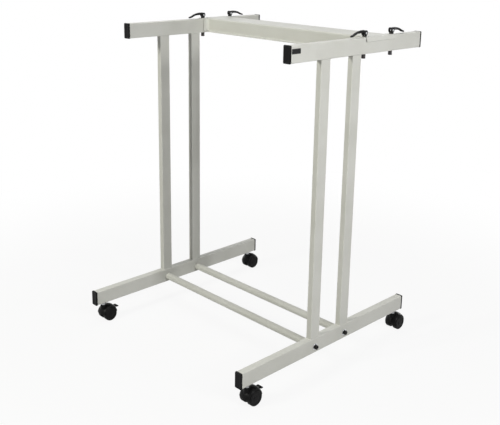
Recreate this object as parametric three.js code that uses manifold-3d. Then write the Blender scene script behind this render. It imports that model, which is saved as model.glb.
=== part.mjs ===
// A plan hanging rack on castors: two welded side frames, two round cross tubes near the floor and
// a folded cross beam that four cam clamps hold on the top rails. Sheets hang from bars laid
// across the two top rails. Millimetres, +X right, +Y to the rear, +Z up, origin on the floor
// under the middle of the base.
import * as THREE from "three";
import { mergeVertices } from "three/addons/utils/BufferGeometryUtils.js";
import Module from "manifold-3d";

const wasm = await Module();
wasm.setup();

// Side frames: rails and posts of rectangular steel tube
const innerWidth = 720; // between the inner faces of the two side frames
const baseLength = 780; // base rail tube without its caps
const topLength = 612; // top rail tube without its caps
const clearHeight = 883; // from the base rail up to the top rail
const railHeight = 50;
const railWidth = 25;
const railWall = 1.6;
const railRadius = 3;
const postDepth = 40; // front to rear
const postWidth = 20;
const postWall = 1.6;
const postRadius = 2.5;
const postSpacing = 142; // between the middles of the two posts of a side

// Plastic end caps of the rails
const capFlange = 5;
const capPlug = 14; // how far a cap's collar reaches into the tube
const capWall = 2;
const capRound = 1.6; // rounded outer edge
const capFit = 0.3; // around the collar

// Round cross tubes and the screws that hold them
const tubeDiameter = 25;
const tubeWall = 1.5;
const tubeSpacing = 144;
const tubeHeight = 21; // tube's middle above the base rail's underside
const tubePlug = 14; // threaded end plug
const screwDiameter = 8;
const screwReach = 11; // into the tube's end plug
const screwHeadDiameter = 13;
const screwHeadHeight = 8;
const screwSocketSize = 6; // across flats
const screwSocketDepth = 4;
const washerDiameter = 21;
const washerThickness = 1.6;
const boltFit = 0.35; // around every screw and bolt in its hole

// Folded cross beam
const sheetThickness = 1.6;
const lapGap = 16; // between the rear posts and the laps on the rails
const railTail = 136; // top rail tube behind the laps
const lapDepth = 147; // front to rear
const beamLead = 2; // the beam's front edge before the laps
const beamDepth = 129; // plate between the rails
const beamHeight = 47.5; // outside
const beamRecess = 15; // web behind the beam's front edge, and so the depth of flange and end tabs
const beamBend = 4; // outside radius of the long bends
const beamFit = 0.3; // between the beam and the sides of the rails
const lipDrop = 14; // lip on the rail's outer face, from the plate's top
const lipBend = 2.6;

// Cam clamps
const clampInset = 6; // bolt from the lap's front and rear edge
const clampBoltDiameter = 5;
const clampHeadDiameter = 12;
const clampHeadHeight = 14.5;
const clampHeadRound = 1.5;
const barrelDiameter = 7.6;
const barrelStand = 0.4; // how far the barrel stands out of the lever's cheeks
const camRadius = 5.5;
const camOffset = 0.8; // from the barrel's axis down to the cam's middle when closed
const camFit = 0.3; // around the barrel, and between cam and cradle
const cradleDiameter = 11.6;
const cradleFloor = 4.2; // below the cam
const cradleRise = 0.8; // of the groove's edges
const leverHeadWidth = 14;
const leverWaist = 8.5;
const leverTip = 11;
const leverLength = 63; // from the barrel's axis
const leverThickness = 4.6;
const leverCrest = 4; // arm's middle line above the barrel's axis
const leverDip = 8.4; // arm's middle line below the barrel's axis, near the tip
const leverFlick = 2; // how far the tip turns up again

// Twin-wheel castors
const castorInset = 31; // stem from the end of the base rail's tube
const castorTrail = 17; // axle behind the stem
const wheelDiameter = 50;
const wheelWidth = 17;
const wheelShoulder = 3; // rounded outer edge of the tread
const wheelGroove = 1.2; // ring groove between tyre and hub disc
const hubCap = 2.5; // closed outer end of the wheel's bore
const axleDiameter = 8;
const turnFit = 0.3; // around axle, stem pin and brake pin
const webThickness = 14; // of the body between the wheels
const webFit = 0.6; // between the web and each wheel
const hoodGap = 1; // between tread and hood
const hoodWall = 1.8; // at the hood's side edges
const hoodCrown = 5; // how much higher the hood stands in the middle
const hoodWidth = 43;
const hoodEdge = 3; // hood's lower edge above the axle
const hubDiameter = 34; // web round the axle, below the hood
const bossDiameter = 20; // round the stem
const bossRise = 0.4; // above the hood's highest line
const collarDiameter = 17;
const collarHeight = 11.5; // bright collar between castor body and rail
const stemDiameter = 10;
const stemReach = 16; // into the threaded sleeve in the rail
const stemChamfer = 1;
const sleeveDiameter = 16;
const sleeveHeight = 18;
const pinDiameter = 8; // lower end of the stem, on which the body turns
const pinDepth = 22;

// Brake tabs of the two front castors
const brakePinDiameter = 4;
const brakePinInset = 5; // brake pin inside the wheel wells' outline
const brakePinAngle = 42; // degrees above the axle's level, to the rear
const brakeHubDiameter = 9;
const brakeNeckWidth = 8;
const brakeNeckThickness = 4.6;
const brakePedalGap = 4.6; // between the hood and the pedal's front edge
const brakePedalWidth = 23;
const brakePedalLength = 8;
const brakePedalThickness = 2.8;
const brakePedalCorner = 2.5;
const brakeSlotFit = 0.6; // each side of the neck
const brakeSlotBelow = 7.5; // room for the neck to swing down
const brakeSlotAbove = 5.5;

// Facets
const roundSides = 20;
const rodSides = 14;
const holeSides = 10;
const cornerSteps = 2;

// Heights and places that follow from the sizes above
const axleHeight = wheelDiameter / 2;
const hoodInner = wheelDiameter / 2 + hoodGap;
const hoodOuter = hoodInner + hoodWall;
const hoodTop = hoodOuter + hoodCrown;
const bossTop = axleHeight + hoodTop + bossRise;
const baseBottom = bossTop + turnFit + collarHeight;
const baseTop = baseBottom + railHeight;
const topBottom = baseTop + clearHeight;
const topTop = topBottom + railHeight;
const plateTop = topTop + sheetThickness;
const pivotHeight = plateTop + cradleFloor + camFit + camRadius + camOffset;
const railX = (innerWidth + railWidth) / 2;
const lapFront = (postSpacing + postDepth) / 2 + lapGap;
const topRear = lapFront + lapDepth + railTail;
const topFront = topRear - topLength;
const beamFront = lapFront - beamLead;
const tubeZ = baseBottom + tubeHeight;
const castorY = baseLength / 2 - castorInset;
const clampFrontY = lapFront + clampInset;
const clampRearY = lapFront + lapDepth - clampInset;
const screwHole = screwDiameter + 2 * boltFit;
const clampHole = clampBoltDiameter + 2 * boltFit;
const wheelInside = webThickness / 2 + webFit;
const brakePinRadius = hoodInner - brakePinInset;
const brakePinBehind = brakePinRadius * Math.cos(THREE.MathUtils.degToRad(brakePinAngle));
const brakePinAbove = brakePinRadius * Math.sin(THREE.MathUtils.degToRad(brakePinAngle));
const brakePinY = castorTrail + brakePinBehind;
const brakePinZ = axleHeight + brakePinAbove;
const brakeNeckLength = Math.sqrt(hoodTop ** 2 - brakePinAbove ** 2) - brakePinBehind + brakePedalGap;

const looks = {
  paint: { color: 0xc6c6bf, roughness: 0.5, metalness: 0.1 },
  blackPlastic: { color: 0x1c1c1c, roughness: 0.55, metalness: 0 },
  blackSteel: { color: 0x232323, roughness: 0.4, metalness: 0.6 },
  darkAlloy: { color: 0x2c2d2c, roughness: 0.35, metalness: 0.5 },
  brightSteel: { color: 0xc4c4c4, roughness: 0.25, metalness: 1 },
};

// Solids for cutting and joining

function toSolid(geometry) {
  const bare = geometry.clone();
  bare.deleteAttribute("normal");
  bare.deleteAttribute("uv");
  const merged = mergeVertices(bare, 1e-4);
  const corners = merged.index.array;
  const triangles = [];
  for (let i = 0; i < corners.length; i += 3) {
    const [a, b, c] = corners.slice(i, i + 3);
    if (a !== b && b !== c && c !== a) triangles.push(a, b, c);
  }
  const vertProperties = new Float32Array(merged.attributes.position.array);
  const triVerts = new Uint32Array(triangles);
  return new wasm.Manifold(new wasm.Mesh({ numProp: 3, vertProperties, triVerts }));
}

function toGeometry(solid) {
  const mesh = solid.getMesh();
  const geometry = new THREE.BufferGeometry();
  geometry.setAttribute("position", new THREE.BufferAttribute(mesh.vertProperties, 3));
  geometry.setIndex(new THREE.BufferAttribute(mesh.triVerts, 1));
  return geometry;
}

function join(first, ...others) {
  return others.reduce((solid, other) => solid.add(toSolid(other)), toSolid(first));
}

function cut(solid, ...cutters) {
  return cutters.reduce((rest, cutter) => rest.subtract(toSolid(cutter)), solid);
}

// Outlines and simple forms

function roundedRectangle(path, width, height, radius) {
  const x = width / 2 - radius;
  const y = height / 2 - radius;
  path.moveTo(x + radius, -y);
  path.absarc(x, y, radius, 0, Math.PI / 2);
  path.absarc(-x, y, radius, Math.PI / 2, Math.PI);
  path.absarc(-x, -y, radius, Math.PI, 1.5 * Math.PI);
  path.absarc(x, -y, radius, 1.5 * Math.PI, 2 * Math.PI);
  return path;
}

function tubeSection(width, height, wall, radius) {
  const shape = roundedRectangle(new THREE.Shape(), width, height, radius);
  const innerRadius = Math.max(radius - wall, wall / 4);
  shape.holes.push(roundedRectangle(new THREE.Path(), width - 2 * wall, height - 2 * wall, innerRadius));
  return shape;
}

const plainExtrusion = { bevelEnabled: false, steps: 1 };

// A section drawn in X and Y, drawn out upward from the floor of its own frame
function extrudeUp(shape, depth, curveSegments = cornerSteps) {
  return new THREE.ExtrudeGeometry(shape, { ...plainExtrusion, curveSegments, depth });
}

// A section drawn in X and Z, drawn out along Y and centred
function extrudeAlongY(shape, depth, curveSegments = cornerSteps) {
  return extrudeUp(shape, depth, curveSegments).rotateX(Math.PI / 2).translate(0, depth / 2, 0);
}

// A section drawn in Y and Z, drawn out along X and centred
function extrudeAlongX(shape, depth) {
  const turn = new THREE.Matrix4().set(0, 0, 1, -depth / 2, 1, 0, 0, 0, 0, 1, 0, 0, 0, 0, 0, 1);
  return extrudeUp(shape, depth).applyMatrix4(turn);
}

// A profile of radius and height pairs turned about Z
function revolve(profile, sides, start = 0) {
  const points = profile.map(([radius, height]) => new THREE.Vector2(radius, height));
  return new THREE.LatheGeometry(points, sides, start).rotateX(Math.PI / 2);
}

function rodAlongX(diameter, length, sides) {
  return new THREE.CylinderGeometry(diameter / 2, diameter / 2, length, sides).rotateZ(Math.PI / 2);
}

function rodAlongZ(diameter, length, sides) {
  return new THREE.CylinderGeometry(diameter / 2, diameter / 2, length, sides).rotateX(Math.PI / 2);
}

function block(xFrom, xTo, yFrom, yTo, zFrom, zTo) {
  const box = new THREE.BoxGeometry(xTo - xFrom, yTo - yFrom, zTo - zFrom);
  return box.translate((xFrom + xTo) / 2, (yFrom + yTo) / 2, (zFrom + zTo) / 2);
}

// Side frame pieces

function baseRail() {
  const bar = extrudeAlongY(tubeSection(railWidth, railHeight, railWall, railRadius), baseLength);
  const inside = -railHeight / 2 + railWall / 2;
  const stems = [-castorY, castorY];
  const sleeves = stems.map((y) =>
    rodAlongZ(sleeveDiameter, sleeveHeight, rodSides).translate(0, y, inside + sleeveHeight / 2));
  const stemHole = stemDiameter + 2 * boltFit;
  const stemBores = stems.map((y) =>
    rodAlongZ(stemHole, 2 * sleeveHeight + railHeight, holeSides)
      .translate(0, y, inside + railWall - railHeight / 2));
  const screwBores = [-tubeSpacing / 2, tubeSpacing / 2].map((y) =>
    rodAlongX(screwHole, 2 * railWidth, holeSides).translate(0, y, tubeHeight - railHeight / 2));
  return toGeometry(cut(join(bar, ...sleeves), ...stemBores, ...screwBores));
}

function topRail() {
  const bar = extrudeAlongY(tubeSection(railWidth, railHeight, railWall, railRadius), topLength);
  const middle = topRear - topLength / 2;
  const bores = [clampFrontY, clampRearY].map((y) =>
    rodAlongZ(clampHole, 2 * railHeight, holeSides).translate(0, y - middle, 0));
  return toGeometry(cut(toSolid(bar), ...bores));
}

function post() {
  return extrudeUp(tubeSection(postWidth, postDepth, postWall, postRadius), clearHeight);
}

// The cap's flange covers the tube's end and its hollow collar plugs the tube; faces +Y
function endCap() {
  const face = roundedRectangle(new THREE.Shape(), railWidth - 2 * capRound, railHeight - 2 * capRound,
    Math.max(railRadius - capRound, capRound / 2));
  const flange = new THREE.ExtrudeGeometry(face, {
    depth: capFlange, curveSegments: cornerSteps, steps: 1,
    bevelEnabled: true, bevelSize: capRound, bevelThickness: capRound, bevelSegments: 1,
  });
  flange.rotateX(Math.PI / 2).translate(0, capFlange - capRound, 0);
  const backward = block(-railWidth, railWidth, -2 * capFlange - capRound, 0, -railHeight, railHeight);
  const inset = 2 * (railWall + capFit);
  const collarSection = tubeSection(railWidth - inset, railHeight - inset, capWall, railRadius / 2);
  const collar = extrudeAlongY(collarSection, capPlug + capFlange / 2, 1);
  collar.translate(0, (capFlange / 2 - capPlug) / 2, 0);
  return toGeometry(cut(toSolid(flange), backward).add(toSolid(collar)));
}

// Cross tube and its screws

// Closed at each end by a threaded plug, so the profile runs round the wall and back inside
function crossTube() {
  const outer = tubeDiameter / 2;
  const inner = outer - tubeWall;
  const bore = screwHole / 2;
  const half = innerWidth / 2;
  const step = half - tubePlug;
  const profile = [
    [outer, -half], [outer, half], [bore, half], [bore, step], [inner, step],
    [inner, -step], [bore, -step], [bore, -half], [outer, -half],
  ];
  return revolve(profile, roundSides).rotateY(Math.PI / 2);
}

// Socket head screw with its captive washer, head toward +X, washer's inner face at X = 0
function tubeScrew() {
  const shank = screwDiameter / 2;
  const head = screwHeadDiameter / 2;
  const washer = washerDiameter / 2;
  const top = washerThickness + screwHeadHeight;
  const edge = screwHeadHeight / 10;
  const profile = [
    [0, -railWidth - screwReach], [shank, -railWidth - screwReach], [shank, 0], [washer, 0],
    [washer, washerThickness], [head, washerThickness], [head, top - edge], [head - edge, top], [0, top],
  ];
  const corner = screwSocketSize / Math.sqrt(3);
  const socket = new THREE.CylinderGeometry(corner, corner, 2 * screwSocketDepth, 6).rotateX(Math.PI / 2);
  const screw = cut(toSolid(revolve(profile, rodSides)), socket.translate(0, 0, top));
  return toGeometry(screw).rotateY(Math.PI / 2);
}

// Cross beam

// Outline of the lapping plate across both rails with a lip down at each side, its top at zero
function lapSection(width) {
  const x = width / 2;
  const s = sheetThickness;
  const inner = Math.max(lipBend - s, s / 4);
  const shape = new THREE.Shape();
  shape.moveTo(x, -lipDrop);
  shape.lineTo(x, -lipBend);
  shape.absarc(x - lipBend, -lipBend, lipBend, 0, Math.PI / 2);
  shape.absarc(-x + lipBend, -lipBend, lipBend, Math.PI / 2, Math.PI);
  shape.lineTo(-x, -lipDrop);
  shape.lineTo(-x + s, -lipDrop);
  shape.absarc(-x + s + inner, -s - inner, inner, Math.PI, Math.PI / 2, true);
  shape.absarc(x - s - inner, -s - inner, inner, Math.PI / 2, 0, true);
  shape.lineTo(x - s, -lipDrop);
  return shape;
}

// Outline of one bent sheet, from a corner at zero: a level part of the given length that turns
// down into an upright one of the given height, round an outside bend
function bentSection(length, height) {
  const s = sheetThickness;
  const b = beamBend;
  const inner = Math.max(b - s, s / 4);
  const shape = new THREE.Shape();
  shape.moveTo(length, -height);
  shape.lineTo(length, -b);
  shape.absarc(length - b, -b, b, 0, Math.PI / 2);
  shape.lineTo(0, 0);
  shape.lineTo(0, -s);
  shape.lineTo(length - s - inner, -s);
  shape.absarc(length - s - inner, -s - inner, inner, Math.PI / 2, 0, true);
  shape.lineTo(length - s, -height);
  return shape;
}

// The plate turns down at its rear edge. Under it stands a web, set back from the front edge, with
// a flange along its foot and a tab at each end turned to the front. Beside the rails the plate
// laps over both and ends in a lip. Front edge at Y = 0, plate's top at Z = 0.
function crossBeam() {
  const s = sheetThickness;
  const reach = innerWidth / 2 - beamFit;
  const plate = extrudeAlongX(bentSection(beamDepth, beamHeight), 2 * reach);
  const webRear = beamRecess + s;
  const web = extrudeAlongX(bentSection(webRear, beamHeight - s / 2), 2 * reach);
  web.rotateY(Math.PI).translate(0, 0, -beamHeight);
  const tabs = [-reach, reach - s].map((x) => block(x, x + s, 0, webRear, -beamHeight, -s / 2));
  const lap = extrudeAlongY(lapSection(innerWidth + 2 * (railWidth + beamFit + s)), lapDepth);
  lap.translate(0, beamLead + lapDepth / 2, 0);
  const betweenRails = block(s - reach, reach - s, -lapDepth, 2 * lapDepth, -2 * lipDrop, lipDrop);
  const insideRails = block(-reach, reach, -lapDepth, 2 * lapDepth, -2 * lipDrop, -s);
  const ends = cut(toSolid(lap), betweenRails, insideRails);
  const bores = [];
  for (const x of [-railX, railX]) {
    for (const y of [clampFrontY, clampRearY]) {
      bores.push(rodAlongZ(clampHole, 4 * beamBend, holeSides).translate(x, y - beamFront, 0));
    }
  }
  return toGeometry(cut(join(plate, web, ...tabs).add(ends), ...bores));
}

// Cam clamp pieces, each about its own reference: bolt and cradle on the bolt's axis, barrel and
// lever on the barrel's axis

function clampBolt() {
  const shank = clampBoltDiameter / 2;
  const head = clampHeadDiameter / 2;
  const round = clampHeadRound;
  const tip = pivotHeight + barrelDiameter / 4 - topBottom;
  const profile = [
    [0, -clampHeadHeight], [head - round, -clampHeadHeight], [head, -clampHeadHeight + round],
    [head, 0], [shank, 0], [shank, tip], [0, tip],
  ];
  return revolve(profile, rodSides);
}

function clampCradle() {
  const height = cradleFloor + cradleRise;
  const disc = rodAlongZ(cradleDiameter, height, rodSides).translate(0, 0, height / 2);
  const groove = rodAlongX(2 * (camRadius + camFit), 2 * cradleDiameter, 2 * rodSides);
  groove.translate(0, 0, cradleFloor + camRadius + camFit);
  const bore = rodAlongZ(clampHole, 4 * height, holeSides);
  return toGeometry(cut(toSolid(disc), groove, bore));
}

function clampBarrel() {
  const rod = rodAlongX(barrelDiameter, leverHeadWidth + 2 * barrelStand, rodSides);
  const bore = rodAlongZ(clampHole, 2 * barrelDiameter, holeSides);
  return toGeometry(cut(toSolid(rod), bore));
}

// Points along a smooth line through the given ones
function smooth(points, steps) {
  return new THREE.SplineCurve(points.map(([a, b]) => new THREE.Vector2(a, b))).getPoints(steps);
}

// The arm's side outline follows a middle line with a half thickness that tapers from the head.
// It is narrowed to a waist in plan and joined to the cam, then forked for the bolt and bored for
// the barrel. The arm points to +Y.
function clampLever() {
  const steps = 9;
  const middle = smooth([
    [0, leverCrest - leverThickness], [0.13 * leverLength, leverCrest],
    [0.32 * leverLength, leverCrest - leverThickness / 4], [0.58 * leverLength, -leverDip / 4],
    [0.82 * leverLength, -leverDip], [leverLength, leverFlick - leverDip],
  ], steps);
  const headHalf = barrelDiameter / 2 + camOffset;
  const armHalf = leverThickness / 2;
  const half = smooth([
    [0, headHalf], [1, 1.6 * armHalf], [2, 1.1 * armHalf], [3, armHalf], [4, armHalf], [5, 0.7 * armHalf],
  ], steps);
  const upper = [];
  const lower = [];
  middle.forEach((point, i) => {
    const before = middle[Math.max(i - 1, 0)];
    const after = middle[Math.min(i + 1, steps)];
    const along = after.clone().sub(before).normalize();
    const across = new THREE.Vector2(-along.y, along.x).multiplyScalar(half[i].y);
    upper.push(point.clone().add(across));
    lower.push(point.clone().sub(across));
  });
  const side = new THREE.Shape([...lower, ...upper.reverse()]);
  const cam = rodAlongX(2 * camRadius, leverHeadWidth, rodSides).translate(0, 0, -camOffset);
  const body = join(extrudeAlongX(side, leverHeadWidth), cam);
  const edge = smooth([
    [leverHeadWidth / 2, -2 * camRadius], [leverHeadWidth / 2, camRadius],
    [leverWaist / 2, 0.36 * leverLength], [leverWaist / 2, 0.6 * leverLength],
    [leverTip / 2, 0.88 * leverLength], [leverTip / 3, leverLength + armHalf],
  ], steps);
  const plan = new THREE.Shape([...edge, ...edge.map((p) => new THREE.Vector2(-p.x, p.y)).reverse()]);
  const tall = 2 * (leverCrest + leverDip + headHalf);
  const trimmed = body.intersect(toSolid(extrudeUp(plan, tall).translate(0, 0, -tall / 2)));
  const slot = clampHole / 2;
  const fork = block(-slot, slot, -3 * camRadius, slot, -3 * camRadius, slot);
  const bore = rodAlongX(barrelDiameter + 2 * camFit, 2 * leverHeadWidth, rodSides);
  return toGeometry(cut(trimmed, fork, bore));
}

// Castor pieces, about the stem's axis at floor level, trailing to +Y

// Radius that puts the flats of a many-sided wheel on the true circle, so one lies on the floor
function flatRadius(radius, sides) {
  return radius / Math.cos(Math.PI / sides);
}

function castorStem() {
  const pin = pinDiameter / 2;
  const collar = collarDiameter / 2;
  const thread = stemDiameter / 2;
  const tip = baseBottom + stemReach;
  const profile = [
    [0, bossTop - pinDepth], [pin, bossTop - pinDepth], [pin, bossTop + turnFit], [collar, bossTop + turnFit],
    [collar, baseBottom], [thread, baseBottom], [thread, tip - stemChamfer], [thread - stemChamfer, tip],
    [0, tip],
  ];
  return revolve(profile, rodSides);
}

// Outer face toward +X, inner face at X = 0, about the axle
function castorWheel() {
  const tread = flatRadius(wheelDiameter / 2, roundSides);
  const bore = axleDiameter / 2 + turnFit;
  const end = wheelWidth - hubCap;
  const rim = tread - wheelShoulder;
  const edge = wheelWidth - wheelGroove / 2;
  const profile = [
    [0, end], [bore, end], [bore, 0], [tread, 0], [tread, edge - wheelShoulder], [rim, edge],
    [rim - wheelGroove, edge - wheelGroove], [rim - 2 * wheelGroove, edge], [0, wheelWidth],
  ];
  return revolve(profile, roundSides, Math.PI / roundSides).rotateY(Math.PI / 2);
}

// A crowned drum is cut off below the hood's edge, joined to the stem's boss and the web's hub, and
// opened by two wells for the wheels. The axle passes through the web.
function castorBody(braked) {
  const halfWidth = hoodWidth / 2;
  const drumProfile = [[0, -halfWidth]];
  for (const share of [-1, -0.7, 0, 0.7, 1]) {
    drumProfile.push([hoodOuter + hoodCrown * (1 - share * share), share * halfWidth]);
  }
  drumProfile.push([0, halfWidth]);
  const drum = revolve(drumProfile, roundSides, Math.PI / roundSides).rotateY(Math.PI / 2);
  drum.translate(0, castorTrail, axleHeight);
  const lowerEdge = axleHeight + hoodEdge;
  const below = block(-hoodWidth, hoodWidth, -wheelDiameter, 2 * wheelDiameter, -wheelDiameter, lowerEdge);
  const boss = rodAlongZ(bossDiameter, bossTop - lowerEdge, rodSides);
  boss.translate(0, 0, (bossTop + lowerEdge) / 2);
  const hub = rodAlongX(hubDiameter, webThickness, roundSides).translate(0, castorTrail, axleHeight);
  const axleLength = 2 * (wheelInside + wheelWidth - hubCap - turnFit);
  const axle = rodAlongX(axleDiameter, axleLength, rodSides).translate(0, castorTrail, axleHeight);
  const wellRadius = flatRadius(hoodInner, roundSides);
  const wells = [-1, 1].map((side) =>
    rodAlongX(2 * wellRadius, hoodWidth, roundSides)
      .translate(side * (webThickness + hoodWidth) / 2, castorTrail, axleHeight));
  const pinBore = rodAlongZ(pinDiameter + 2 * turnFit, 2 * (pinDepth + turnFit), holeSides);
  let body = cut(toSolid(drum), below).add(toSolid(boss));
  body = cut(body, ...wells).add(toSolid(hub)).add(toSolid(axle));
  body = cut(body, pinBore.translate(0, 0, bossTop));
  if (braked) {
    const slotHalf = brakeNeckWidth / 2 + brakeSlotFit;
    const slotFront = brakePinY - brakeHubDiameter / 2 - brakeSlotFit;
    const slot = block(-slotHalf, slotHalf, slotFront, slotFront + 2 * wheelDiameter,
      brakePinZ - brakeSlotBelow, brakePinZ + brakeSlotAbove);
    const pin = rodAlongX(brakePinDiameter, webThickness - brakeSlotFit, holeSides);
    body = cut(body, slot).add(toSolid(pin.translate(0, brakePinY, brakePinZ)));
  }
  return toGeometry(body);
}

// Brake tab about its pin: hub, neck through the hood and a foot pedal with ribs across
function brakeTab() {
  const hub = rodAlongX(brakeHubDiameter, brakeNeckWidth, rodSides);
  const neckEnd = brakeNeckLength + brakePedalLength / 2;
  const neckHalf = brakeNeckThickness / 2;
  const neck = block(-brakeNeckWidth / 2, brakeNeckWidth / 2, 0, neckEnd, -neckHalf, neckHalf);
  const outline = roundedRectangle(new THREE.Shape(), brakePedalWidth, brakePedalLength, brakePedalCorner);
  const pedal = extrudeUp(outline, brakePedalThickness);
  pedal.translate(0, brakeNeckLength + brakePedalLength / 2, neckHalf - brakePedalThickness);
  const ribs = [0.3, 0.5, 0.7].map((share) =>
    rodAlongX(brakePedalThickness / 2, brakePedalWidth - 2 * brakePedalCorner, 8)
      .translate(0, brakeNeckLength + share * brakePedalLength, neckHalf));
  const bore = rodAlongX(brakePinDiameter + 2 * turnFit, 2 * brakeNeckWidth, holeSides);
  return toGeometry(cut(join(hub, neck, pedal, ...ribs), bore));
}

// Assembly

const rack = new THREE.Group();

function place(name, geometry, look, [x, y, z], turn = 0) {
  const mesh = new THREE.Mesh(toGeometry(toSolid(geometry)), new THREE.MeshStandardMaterial(look));
  mesh.name = name;
  mesh.position.set(x, y, z);
  mesh.rotation.z = turn;
  rack.add(mesh);
}

const sides = [["left", -1], ["right", 1]];
const ends = [["front", -1], ["rear", 1]];

place("cross_beam", crossBeam(), looks.paint, [0, beamFront, plateTop]);
for (const [end, endSign] of ends) {
  place(`${end}_cross_tube`, crossTube(), looks.paint, [0, endSign * tubeSpacing / 2, tubeZ]);
}

for (const [side, sideSign] of sides) {
  const x = sideSign * railX;
  const outward = sideSign > 0 ? 0 : Math.PI;
  place(`${side}_base_rail`, baseRail(), looks.paint, [x, 0, baseBottom + railHeight / 2]);
  place(`${side}_top_rail`, topRail(), looks.paint, [x, topRear - topLength / 2, topBottom + railHeight / 2]);

  for (const [end, endSign] of ends) {
    const name = `${side}_${end}`;
    const rearward = endSign > 0 ? 0 : Math.PI;
    place(`${name}_post`, post(), looks.paint, [x, endSign * postSpacing / 2, baseTop]);
    place(`${name}_base_cap`, endCap(), looks.blackPlastic,
      [x, endSign * baseLength / 2, baseBottom + railHeight / 2], rearward);
    place(`${name}_top_cap`, endCap(), looks.blackPlastic,
      [x, endSign > 0 ? topRear : topFront, topBottom + railHeight / 2], rearward);
    place(`${name}_tube_screw`, tubeScrew(), looks.blackSteel,
      [x + sideSign * railWidth / 2, endSign * tubeSpacing / 2, tubeZ], outward);

    const clampY = endSign > 0 ? clampRearY : clampFrontY;
    place(`${name}_clamp_bolt`, clampBolt(), looks.blackSteel, [x, clampY, topBottom]);
    place(`${name}_clamp_cradle`, clampCradle(), looks.darkAlloy, [x, clampY, plateTop]);
    place(`${name}_clamp_barrel`, clampBarrel(), looks.brightSteel, [x, clampY, pivotHeight]);
    place(`${name}_clamp_lever`, clampLever(), looks.darkAlloy, [x, clampY, pivotHeight], rearward);

    const stemY = endSign * castorY;
    const braked = end === "front";
    place(`${name}_castor_stem`, castorStem(), looks.brightSteel, [x, stemY, 0]);
    place(`${name}_castor_body`, castorBody(braked), looks.blackPlastic, [x, stemY, 0]);
    for (const [wheelSide, wheelSign] of sides) {
      place(`${name}_castor_${wheelSide}_wheel`, castorWheel(), looks.blackPlastic,
        [x + wheelSign * wheelInside, stemY + castorTrail, axleHeight], wheelSign > 0 ? 0 : Math.PI);
    }
    if (braked) {
      place(`${name}_brake_tab`, brakeTab(), looks.blackPlastic, [x, stemY + brakePinY, brakePinZ]);
    }
  }
}

export default rack;
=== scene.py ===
import math
import bmesh
import bpy
import numpy as np
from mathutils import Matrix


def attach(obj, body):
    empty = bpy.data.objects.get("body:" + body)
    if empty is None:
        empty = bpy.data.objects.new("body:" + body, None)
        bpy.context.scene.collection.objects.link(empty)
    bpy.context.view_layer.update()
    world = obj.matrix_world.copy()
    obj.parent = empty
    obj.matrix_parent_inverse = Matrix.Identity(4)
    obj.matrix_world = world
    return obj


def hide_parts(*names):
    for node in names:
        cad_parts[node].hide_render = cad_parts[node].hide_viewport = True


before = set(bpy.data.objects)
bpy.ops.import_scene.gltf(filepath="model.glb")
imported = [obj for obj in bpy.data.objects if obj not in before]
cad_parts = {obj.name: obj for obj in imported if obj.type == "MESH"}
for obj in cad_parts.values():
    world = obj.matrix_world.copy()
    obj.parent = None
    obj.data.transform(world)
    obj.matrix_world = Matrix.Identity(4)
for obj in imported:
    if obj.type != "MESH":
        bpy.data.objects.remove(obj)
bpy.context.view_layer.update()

mm = 0.001  # the pieces' sizes are in millimetres, the finishes' and the studio's in metres
sideSigns = {"left": -1.0, "right": 1.0}
endSigns = {"front": -1.0, "rear": 1.0}
# The four corners: name on pieces, name on nodes and bodies, signs along X and Y
corners = [(f"{sideName}{endName.title()}", f"{sideName}_{endName}", sx, ey)
           for sideName, sx in sideSigns.items() for endName, ey in endSigns.items()]


# A value in a node tree; arithmetic on it adds Math nodes
class Value:
    def __init__(self, nodes, socket):
        self.nodes = nodes
        self.socket = socket

    def maths(self, operation, first, second):
        return self.nodes.node("ShaderNodeMath", {"operation": operation}, {0: first, 1: second})

    def __add__(self, other):
        return self.maths("ADD", self, other)

    def __radd__(self, other):
        return self.maths("ADD", other, self)

    def __sub__(self, other):
        return self.maths("SUBTRACT", self, other)

    def __rsub__(self, other):
        return self.maths("SUBTRACT", other, self)

    def __mul__(self, other):
        return self.maths("MULTIPLY", self, other)

    def __rmul__(self, other):
        return self.maths("MULTIPLY", other, self)

    def most(self, other):
        return self.maths("MAXIMUM", self, other)


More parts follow.
